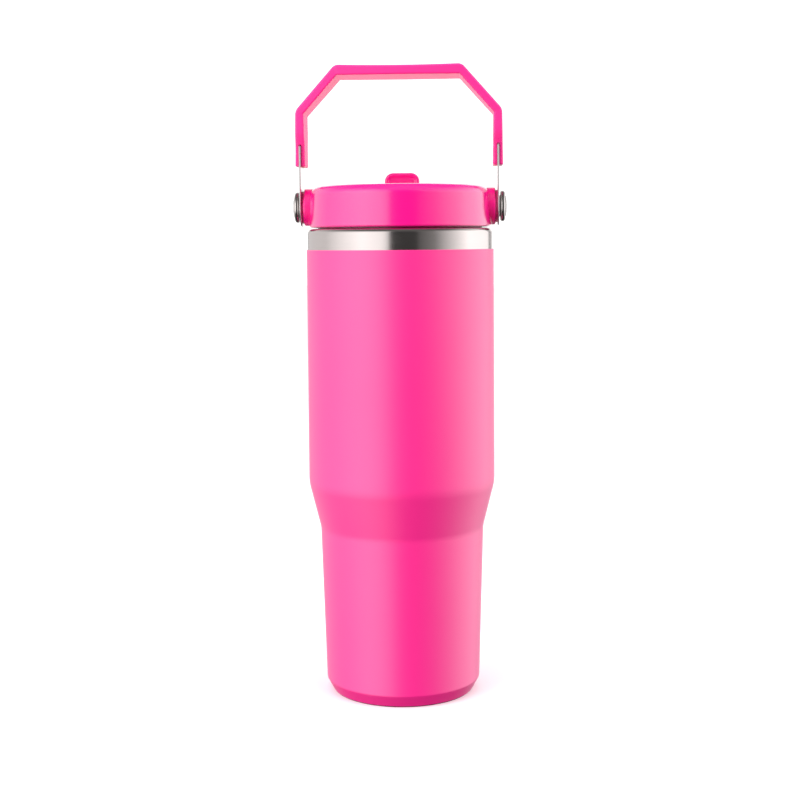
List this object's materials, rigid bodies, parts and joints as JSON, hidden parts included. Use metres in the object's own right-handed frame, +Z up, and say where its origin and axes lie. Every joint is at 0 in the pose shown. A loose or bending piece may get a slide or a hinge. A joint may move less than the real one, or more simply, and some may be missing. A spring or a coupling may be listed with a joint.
{
  "type": "insulated tumbler",
  "caption": "Double-walled steel tumbler with a cup-holder taper, bare rim band, screw lid, folding straw spout and a swinging bail handle.",
  "frame": {"origin": "centre of the foot, on the surface that the tumbler stands on", "axes": "+Z up along the body's axis; handle pivots along X; folded spout points to +Y and the front is -Y"},
  "size_m": [0.103, 0.09, 0.3009],
  "materials": {
    "powder_coat": "hot-pink powder coat, satin with a fine grain",
    "shell_steel": "brushed round the body",
    "liner_steel": "fine turned, electropolished",
    "base_steel": "pressed, satin",
    "solder": "grey glass solder",
    "getter_alloy": "sintered, matt grey",
    "lid_plastic": "hot-pink moulded plastic, fine satin",
    "grip_plastic": "hot-pink moulded plastic, satin",
    "plug_plastic": "hot-pink moulded food-grade plastic",
    "silicone": "translucent food-grade silicone",
    "straw_plastic": "frosted clear plastic",
    "rivet_steel": "polished stainless steel",
    "strap_steel": "brushed along the strap",
    "washer_plastic": "hot-pink acetal"
  },
  "bodies": {
    "flask": {"outer_shell": "shell_steel", "powder_coat": "powder_coat", "inner_liner": "liner_steel", "base_plate": "base_steel", "base_cover": "base_steel", "seal_bead": "solder", "getter": "getter_alloy"},
    "straw": {"straw": "straw_plastic"},
    "lid_seal": {"lid_gasket": "silicone"},
    "lid": {"lid_shell": "lid_plastic", "lid_plug": "plug_plastic", "straw_grommet": "silicone", "spout_seal": "silicone", "spout_pins": "rivet_steel", "vent_valve": "silicone", "pivot_rivet_left": "rivet_steel", "pivot_rivet_right": "rivet_steel", "pivot_washer_left": "washer_plastic", "pivot_washer_right": "washer_plastic", "pivot_retainer_left": "rivet_steel", "pivot_retainer_right": "rivet_steel"},
    "spout": {"spout": "lid_plastic"},
    "handle": {"handle_grip": "grip_plastic", "grip_pins": "strap_steel", "strap_left": "strap_steel", "strap_right": "strap_steel"}
  },
  "joints": [
    {"name": "lid_lift_off", "type": "slide", "parent": "flask", "child": "straw", "axis": [0, 0, 1], "range_m": [0, 0.26]},
    {"name": "lid_rise", "type": "slide", "parent": "straw", "child": "lid_seal", "axis": [0, 0, 1], "range_m": [0, 0.0035]},
    {"name": "lid_turn", "type": "hinge", "parent": "lid_seal", "child": "lid", "pos_m": [0, 0, 0.2242], "axis": [0, 0, 1], "range_deg": [0, 155]},
    {"name": "spout_flip", "type": "hinge", "parent": "lid", "child": "spout", "pos_m": [0, 0, 0.23735], "axis": [1, 0, 0], "range_deg": [0, 90]},
    {"name": "handle_swing", "type": "hinge", "parent": "lid", "child": "handle", "pos_m": [0, 0, 0.23403], "axis": [1, 0, 0], "range_deg": [-120, 120]}
  ],
  "couplings": [
    {"joint": "lid_rise", "follows": "lid_turn", "m_per_rad": 0.0012732}
  ]
}
